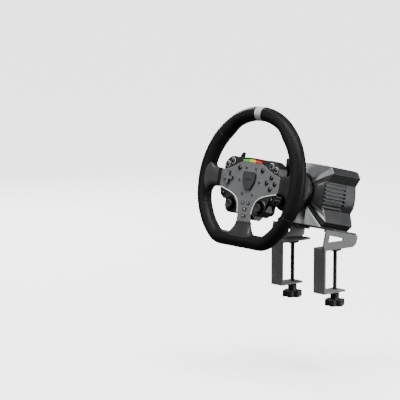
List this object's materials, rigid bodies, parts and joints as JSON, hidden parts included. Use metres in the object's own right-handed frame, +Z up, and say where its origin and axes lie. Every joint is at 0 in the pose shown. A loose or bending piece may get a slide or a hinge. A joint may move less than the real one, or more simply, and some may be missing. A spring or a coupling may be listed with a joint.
{
  "type": "desk clamped racing wheel",
  "caption": "Flat-bottomed racing wheel with buttons, thumb sticks and shift paddles on a finned direct-drive motor base held by two desk clamps.",
  "frame": {"origin": "the desk's top front edge: x=0 on the mid-plane, y=0 on the inner faces of the clamps' legs, z=0 on the undersides of their top arms", "axes": "+Z up, +Y away from the driver into the desk, +X to the driver's right; the shaft axis leans 13.1 degrees down towards the rear"},
  "size_m": [0.2799, 0.2672, 0.3816],
  "materials": {
    "leather": "black wrapped leather, matt",
    "marker": "light grey leather band",
    "frame": "dark grey moulded cover",
    "face_plate": "dark grey anodised face plate",
    "badge": "dark grey satin",
    "trim": "light plastic line",
    "lights": "light bar in three colours",
    "housing": "black moulded plastic",
    "circuit": "green circuit board",
    "button": "gloss black",
    "dpad": "satin black",
    "stick": "black rubber cap",
    "anodised": "black anodised",
    "collar": "dark grey anodised",
    "steel": "ground steel",
    "copper": "lamination stack and copper windings",
    "base_body": "dark grey cast and coated",
    "cover": "grey satin coated casting",
    "powder_coat": "dark grey powder coat",
    "black_steel": "black oxide steel",
    "knob": "black moulded knob",
    "pad": "black rubber faced pad"
  },
  "bodies": {
    "base": {"motor_housing": "base_body", "front_cover": "cover", "rear_cover": "base_body", "connector_block": "housing", "motor_stator": "copper", "drive_board": "circuit", "front_bearing": "steel", "rear_bearing": "steel", "mount_plate": "powder_coat", "clamp_bracket_left": "powder_coat", "clamp_bracket_right": "powder_coat"},
    "wheel": {"rim_grip": "leather", "rim_marker": "marker", "wheel_frame": "frame", "front_plate": "face_plate", "centre_badge": "badge", "trim_bezel": "trim", "light_bar": "lights", "rear_housing": "housing", "circuit_board": "circuit", "wheel_adapter": "anodised", "shaft_hub": "anodised", "motor_shaft": "steel", "motor_rotor": "steel"},
    "release_collar": {"release_collar": "collar"},
    "upper_button_left": {"upper_button_left": "button"},
    "upper_button_right": {"upper_button_right": "button"},
    "diamond_button_top": {"diamond_button_top": "button"},
    "diamond_button_bottom": {"diamond_button_bottom": "button"},
    "diamond_button_inner": {"diamond_button_inner": "button"},
    "diamond_button_outer": {"diamond_button_outer": "button"},
    "pod_button_inner_left": {"pod_button_inner_left": "button"},
    "pod_button_inner_right": {"pod_button_inner_right": "button"},
    "pod_button_outer_left": {"pod_button_outer_left": "button"},
    "pod_button_outer_right": {"pod_button_outer_right": "button"},
    "lower_pod_button_left": {"lower_pod_button_left": "button"},
    "lower_pod_button_right": {"lower_pod_button_right": "button"},
    "stem_button_left": {"stem_button_left": "button"},
    "stem_button_right": {"stem_button_right": "button"},
    "stem_button_upper": {"stem_button_upper": "button"},
    "stem_button_lower": {"stem_button_lower": "button"},
    "dpad_pivot": {"dpad_pivot": "dpad"},
    "dpad": {"dpad": "dpad"},
    "stick_yoke_left": {"stick_yoke_left": "stick"},
    "thumb_stick_left": {"thumb_stick_left": "stick"},
    "stick_yoke_right": {"stick_yoke_right": "stick"},
    "thumb_stick_right": {"thumb_stick_right": "stick"},
    "paddle_left": {"shift_paddle_left": "anodised"},
    "paddle_right": {"shift_paddle_right": "anodised"},
    "clamp_pad_left": {"clamp_pad_left": "pad"},
    "clamp_screw_left": {"clamp_screw_left": "black_steel", "clamp_knob_left": "knob"},
    "clamp_pad_right": {"clamp_pad_right": "pad"},
    "clamp_screw_right": {"clamp_screw_right": "black_steel", "clamp_knob_right": "knob"}
  },
  "joints": [
    {"name": "steering", "type": "hinge", "parent": "base", "child": "wheel", "pos_m": [0, -0.1249, 0.1354], "axis": [0, 0.974, -0.2267], "continuous": true},
    {"name": "collar_pull", "type": "slide", "parent": "wheel", "child": "release_collar", "axis": [0, -0.974, 0.2267], "range_m": [0, 0.005], "stiffness_N_per_m": 1500, "springref_m": -0.003},
    {"name": "upper_button_left_press", "type": "slide", "parent": "wheel", "child": "upper_button_left", "axis": [0, 0.974, -0.2267], "range_m": [0, 0.0012], "stiffness_N_per_m": 700, "springref_m": -0.0008},
    {"name": "upper_button_right_press", "type": "slide", "parent": "wheel", "child": "upper_button_right", "axis": [0, 0.974, -0.2267], "range_m": [0, 0.0012], "stiffness_N_per_m": 700, "springref_m": -0.0008},
    {"name": "diamond_button_top_press", "type": "slide", "parent": "wheel", "child": "diamond_button_top", "axis": [0, 0.974, -0.2267], "range_m": [0, 0.0012], "stiffness_N_per_m": 700, "springref_m": -0.0008},
    {"name": "diamond_button_bottom_press", "type": "slide", "parent": "wheel", "child": "diamond_button_bottom", "axis": [0, 0.974, -0.2267], "range_m": [0, 0.0012], "stiffness_N_per_m": 700, "springref_m": -0.0008},
    {"name": "diamond_button_inner_press", "type": "slide", "parent": "wheel", "child": "diamond_button_inner", "axis": [0, 0.974, -0.2267], "range_m": [0, 0.0012], "stiffness_N_per_m": 700, "springref_m": -0.0008},
    {"name": "diamond_button_outer_press", "type": "slide", "parent": "wheel", "child": "diamond_button_outer", "axis": [0, 0.974, -0.2267], "range_m": [0, 0.0012], "stiffness_N_per_m": 700, "springref_m": -0.0008},
    {"name": "pod_button_inner_left_press", "type": "slide", "parent": "wheel", "child": "pod_button_inner_left", "axis": [0, 0.974, -0.2267], "range_m": [0, 0.0012], "stiffness_N_per_m": 700, "springref_m": -0.0008},
    {"name": "pod_button_inner_right_press", "type": "slide", "parent": "wheel", "child": "pod_button_inner_right", "axis": [0, 0.974, -0.2267], "range_m": [0, 0.0012], "stiffness_N_per_m": 700, "springref_m": -0.0008},
    {"name": "pod_button_outer_left_press", "type": "slide", "parent": "wheel", "child": "pod_button_outer_left", "axis": [0, 0.974, -0.2267], "range_m": [0, 0.0012], "stiffness_N_per_m": 700, "springref_m": -0.0008},
    {"name": "pod_button_outer_right_press", "type": "slide", "parent": "wheel", "child": "pod_button_outer_right", "axis": [0, 0.974, -0.2267], "range_m": [0, 0.0012], "stiffness_N_per_m": 700, "springref_m": -0.0008},
    {"name": "lower_pod_button_left_press", "type": "slide", "parent": "wheel", "child": "lower_pod_button_left", "axis": [0, 0.974, -0.2267], "range_m": [0, 0.0012], "stiffness_N_per_m": 700, "springref_m": -0.0008},
    {"name": "lower_pod_button_right_press", "type": "slide", "parent": "wheel", "child": "lower_pod_button_right", "axis": [0, 0.974, -0.2267], "range_m": [0, 0.0012], "stiffness_N_per_m": 700, "springref_m": -0.0008},
    {"name": "stem_button_left_press", "type": "slide", "parent": "wheel", "child": "stem_button_left", "axis": [0, 0.974, -0.2267], "range_m": [0, 0.0012], "stiffness_N_per_m": 700, "springref_m": -0.0008},
    {"name": "stem_button_right_press", "type": "slide", "parent": "wheel", "child": "stem_button_right", "axis": [0, 0.974, -0.2267], "range_m": [0, 0.0012], "stiffness_N_per_m": 700, "springref_m": -0.0008},
    {"name": "stem_button_upper_press", "type": "slide", "parent": "wheel", "child": "stem_button_upper", "axis": [0, 0.974, -0.2267], "range_m": [0, 0.0012], "stiffness_N_per_m": 700, "springref_m": -0.0008},
    {"name": "stem_button_lower_press", "type": "slide", "parent": "wheel", "child": "stem_button_lower", "axis": [0, 0.974, -0.2267], "range_m": [0, 0.0012], "stiffness_N_per_m": 700, "springref_m": -0.0008},
    {"name": "dpad_up_down", "type": "hinge", "parent": "wheel", "child": "dpad_pivot", "pos_m": [-0.0575, -0.12256, 0.13619], "axis": [1, 0, 0], "range_deg": [-4, 4], "stiffness_Nm_per_rad": 0.4},
    {"name": "dpad_left_right", "type": "hinge", "parent": "dpad_pivot", "child": "dpad", "pos_m": [-0.0575, -0.12256, 0.13619], "axis": [0, 0.2267, 0.974], "range_deg": [-4, 4], "stiffness_Nm_per_rad": 0.4},
    {"name": "thumb_stick_left_up_down", "type": "hinge", "parent": "wheel", "child": "stick_yoke_left", "pos_m": [-0.0395, -0.12776, 0.08781], "axis": [1, 0, 0], "range_deg": [-12, 12], "stiffness_Nm_per_rad": 0.08},
    {"name": "thumb_stick_left_left_right", "type": "hinge", "parent": "stick_yoke_left", "child": "thumb_stick_left", "pos_m": [-0.0395, -0.12776, 0.08781], "axis": [0, 0.2267, 0.974], "range_deg": [-12, 12], "stiffness_Nm_per_rad": 0.08},
    {"name": "thumb_stick_right_up_down", "type": "hinge", "parent": "wheel", "child": "stick_yoke_right", "pos_m": [0.0395, -0.12776, 0.08781], "axis": [1, 0, 0], "range_deg": [-12, 12], "stiffness_Nm_per_rad": 0.08},
    {"name": "thumb_stick_right_left_right", "type": "hinge", "parent": "stick_yoke_right", "child": "thumb_stick_right", "pos_m": [0.0395, -0.12776, 0.08781], "axis": [0, 0.2267, 0.974], "range_deg": [-12, 12], "stiffness_Nm_per_rad": 0.08},
    {"name": "paddle_left_pull", "type": "hinge", "parent": "wheel", "child": "paddle_left", "pos_m": [-0.044, -0.09763, 0.12905], "axis": [0, 0.2267, 0.974], "range_deg": [0, 5], "stiffness_Nm_per_rad": 3, "springref_deg": -4},
    {"name": "paddle_right_pull", "type": "hinge", "parent": "wheel", "child": "paddle_right", "pos_m": [0.044, -0.09763, 0.12905], "axis": [0, 0.2267, 0.974], "range_deg": [-5, 0], "stiffness_Nm_per_rad": 3, "springref_deg": 4},
    {"name": "clamp_left_travel", "type": "slide", "parent": "base", "child": "clamp_pad_left", "axis": [0, 0, 1], "range_m": [-0.06, 0]},
    {"name": "clamp_left_turn", "type": "hinge", "parent": "clamp_pad_left", "child": "clamp_screw_left", "pos_m": [-0.05865, 0.03805, -0.06], "axis": [0, 0, 1], "range_deg": [-17290, 0]},
    {"name": "clamp_right_travel", "type": "slide", "parent": "base", "child": "clamp_pad_right", "axis": [0, 0, 1], "range_m": [-0.06, 0]},
    {"name": "clamp_right_turn", "type": "hinge", "parent": "clamp_pad_right", "child": "clamp_screw_right", "pos_m": [0.05865, 0.03805, -0.06], "axis": [0, 0, 1], "range_deg": [-17290, 0]}
  ],
  "couplings": [
    {"joint": "clamp_left_turn", "follows": "clamp_left_travel", "rad_per_m": 5026.5},
    {"joint": "clamp_right_turn", "follows": "clamp_right_travel", "rad_per_m": 5026.5}
  ]
}
